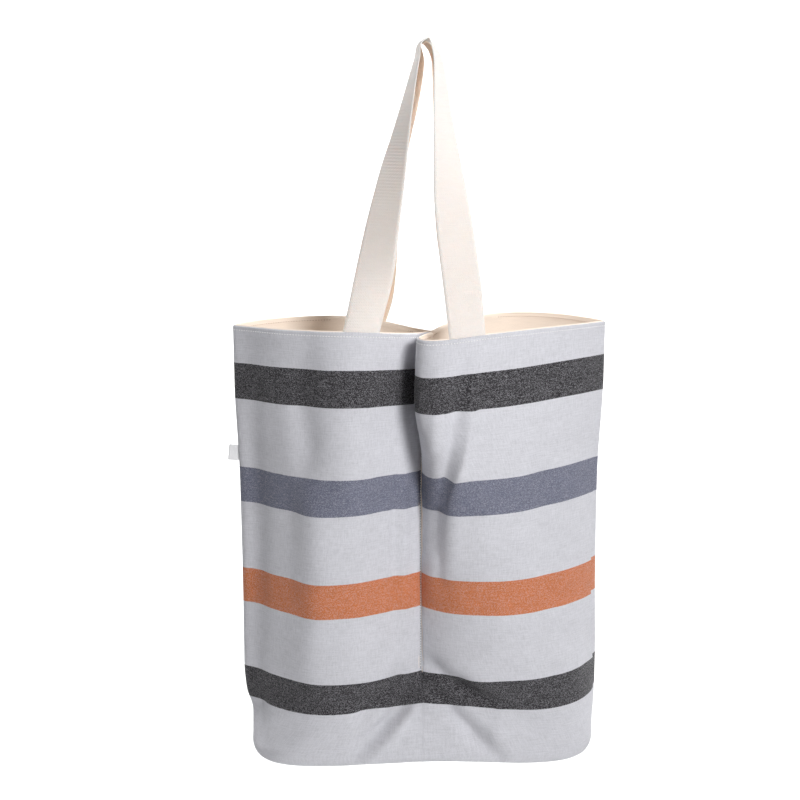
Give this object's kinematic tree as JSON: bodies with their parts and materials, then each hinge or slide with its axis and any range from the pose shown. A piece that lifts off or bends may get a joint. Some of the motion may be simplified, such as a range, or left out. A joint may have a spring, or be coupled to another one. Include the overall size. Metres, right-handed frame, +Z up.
{
  "type": "wine bottle bag",
  "caption": "Soft lined cotton tote for wine bottles with broad stripes, a stitched line down the middle and webbing handles, hung open by its handles.",
  "frame": {"origin": "underside of the handles where they hang side by side on one hook", "axes": "+X to the right across the bag, +Y from the front of the bag to its back, +Z up"},
  "size_m": [0.397, 0.1662, 0.7518],
  "materials": {
    "front_panel": "matte woven cotton canvas",
    "back_panel": "matte woven cotton canvas",
    "lining": "matte plain cotton",
    "front_handle": "matte cotton webbing",
    "back_handle": "matte cotton webbing",
    "side_label": "smooth woven tape"
  },
  "bodies": {
    "root": {"front_panel": "front_panel", "back_panel": "back_panel", "lining": "lining", "front_handle": "front_handle", "back_handle": "back_handle", "side_label": "side_label"}
  },
  "joints": []
}
